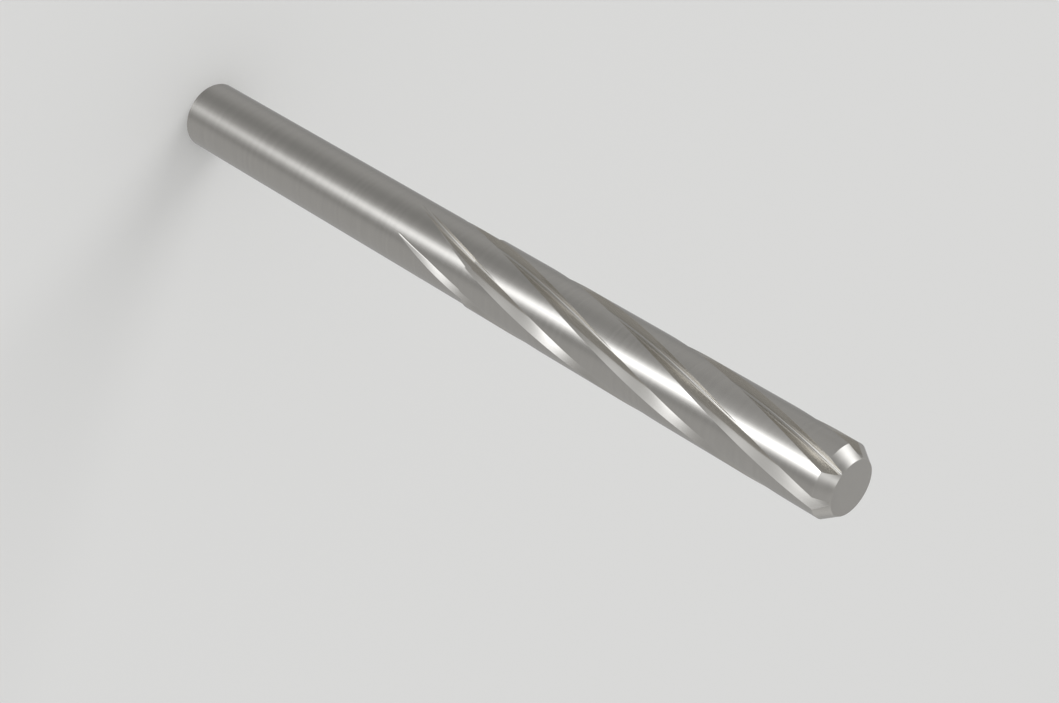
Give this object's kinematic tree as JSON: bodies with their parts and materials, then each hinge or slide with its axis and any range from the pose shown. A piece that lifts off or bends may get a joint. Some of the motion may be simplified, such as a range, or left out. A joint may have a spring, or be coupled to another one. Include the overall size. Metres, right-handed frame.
{
  "type": "hand reamer",
  "caption": "Straight round-shank hand reamer with right-hand spiral flutes, pointed flute run-outs on the shank and a bevelled lead at the nose.",
  "frame": {"origin": "centre of the shank's flat end face", "axes": "+Z runs along the tool's axis from the shank end to the cutting nose; the side seen in the picture faces -Y turned 20 degrees towards +X"},
  "size_m": [0.013, 0.013, 0.152],
  "materials": {
    "ground_steel": "ground and polished tool steel"
  },
  "bodies": {
    "root": {"reamer": "ground_steel"}
  },
  "joints": []
}
